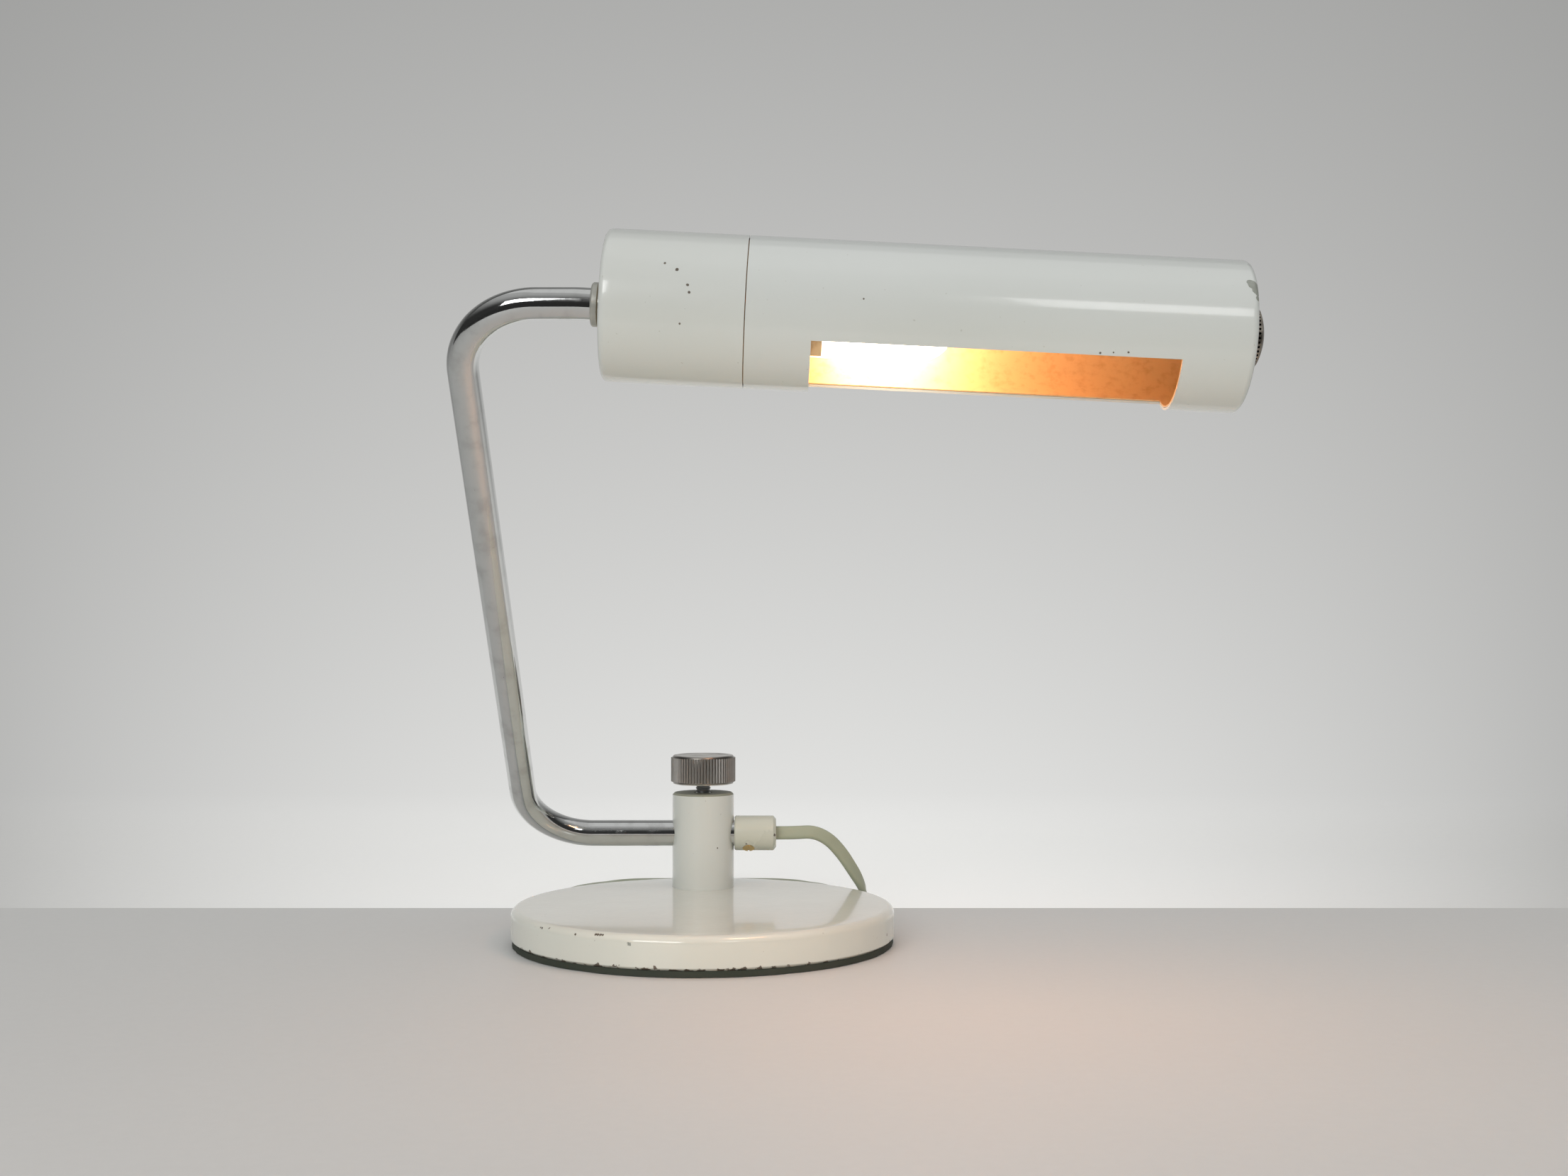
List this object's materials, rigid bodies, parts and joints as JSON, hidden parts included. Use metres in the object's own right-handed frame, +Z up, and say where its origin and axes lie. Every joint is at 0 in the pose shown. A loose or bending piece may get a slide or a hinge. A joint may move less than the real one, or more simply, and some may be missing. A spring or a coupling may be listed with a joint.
{
  "type": "desk lamp",
  "caption": "Desk lamp: round weighted base, post with thumb screw, swinging U-shaped tube arm, tubular shade that turns about its axis, rotary switch, flat lead.",
  "frame": {"origin": "centre of the base's underside, on the surface that the lamp stands on", "axes": "+Z up, +X to the right along the arm's lower axis and roughly along the shade, the viewer on the -Y side"},
  "size_m": [0.2494, 0.302, 0.236],
  "materials": {
    "base_paint": "gloss enamel, chipped at the rim",
    "post_paint": "gloss enamel, bare top",
    "shade_paint": "satin enamel",
    "pad_rubber": "dull",
    "chrome": "polished",
    "nickel": "worn nickel",
    "steel": "plain",
    "brass": "aged",
    "copper": "copper-coloured, mottled",
    "knob_metal": "dark nickel",
    "bakelite": "black",
    "porcelain": "glazed porcelain",
    "bulb_glass": "frosted, lit",
    "clear_glass": "clear",
    "wire_sleeve": "heatproof sleeve",
    "cord_plastic": "cream",
    "tie_black": "soft"
  },
  "bodies": {
    "stand": {"base_disc": "base_paint", "base_pad": "pad_rubber", "post_washer": "steel", "post_screw": "steel", "post": "post_paint", "cord_free": "cord_plastic", "cord_coil": "cord_plastic", "cord_tail": "cord_plastic", "cord_tie": "tie_black", "plug_body": "cord_plastic", "plug_relief": "cord_plastic", "plug_blades": "brass"},
    "foot": {"clamp_foot": "brass"},
    "thumb_screw": {"thumb_stud": "steel", "thumb_knob": "nickel"},
    "arm": {"arm_tube": "chrome", "inner_lead": "cord_plastic", "cord_grip": "post_paint", "grip_screw": "brass", "ring_nut": "chrome", "brass_washer": "brass", "toothed_washer": "steel", "inner_nut": "steel", "lamp_housing": "shade_paint", "shade_spigot": "copper", "holder_cap": "bakelite", "holder_core": "porcelain", "holder_shell": "bakelite", "screw_shell": "brass", "centre_contact": "brass", "terminal_screws": "brass", "holder_leads": "wire_sleeve", "bulb_cap": "nickel", "bulb_insulator": "bakelite", "bulb_tip": "steel", "bulb_glass": "bulb_glass", "bulb_stem": "clear_glass", "bulb_filament": "steel"},
    "shade": {"shade_sleeve": "shade_paint", "reflector_liner": "copper", "switch_body": "bakelite", "switch_bush": "brass", "switch_nut": "nickel", "switch_tabs": "brass", "switch_wires": "wire_sleeve"},
    "knob": {"switch_spindle": "steel", "switch_knob": "knob_metal"}
  },
  "joints": [
    {"name": "arm_swing", "type": "hinge", "parent": "stand", "child": "arm", "pos_m": [-0.002, 0.0443, 0.0347], "axis": [1, 0, 0], "range_deg": [-128, 45]},
    {"name": "shade_turn", "type": "hinge", "parent": "arm", "child": "shade", "pos_m": [0.03542, -0.12252, 0.21012], "axis": [0.9987, 0, -0.0506], "range_deg": [-135, 135]},
    {"name": "switch_turn", "type": "hinge", "parent": "shade", "child": "knob", "pos_m": [0.17025, -0.12252, 0.20329], "axis": [0.9987, 0, -0.0506], "range_deg": [0, 90]},
    {"name": "foot_lift", "type": "slide", "parent": "stand", "child": "foot", "axis": [0, 0, 1], "range_m": [0, 0.002]},
    {"name": "thumb_turn", "type": "hinge", "parent": "foot", "child": "thumb_screw", "pos_m": [-0.002, 0.0443, 0.06], "axis": [0, 0, 1], "range_deg": [0, 720]}
  ],
  "couplings": [
    {"joint": "thumb_turn", "follows": "foot_lift", "rad_per_m": 6283}
  ]
}
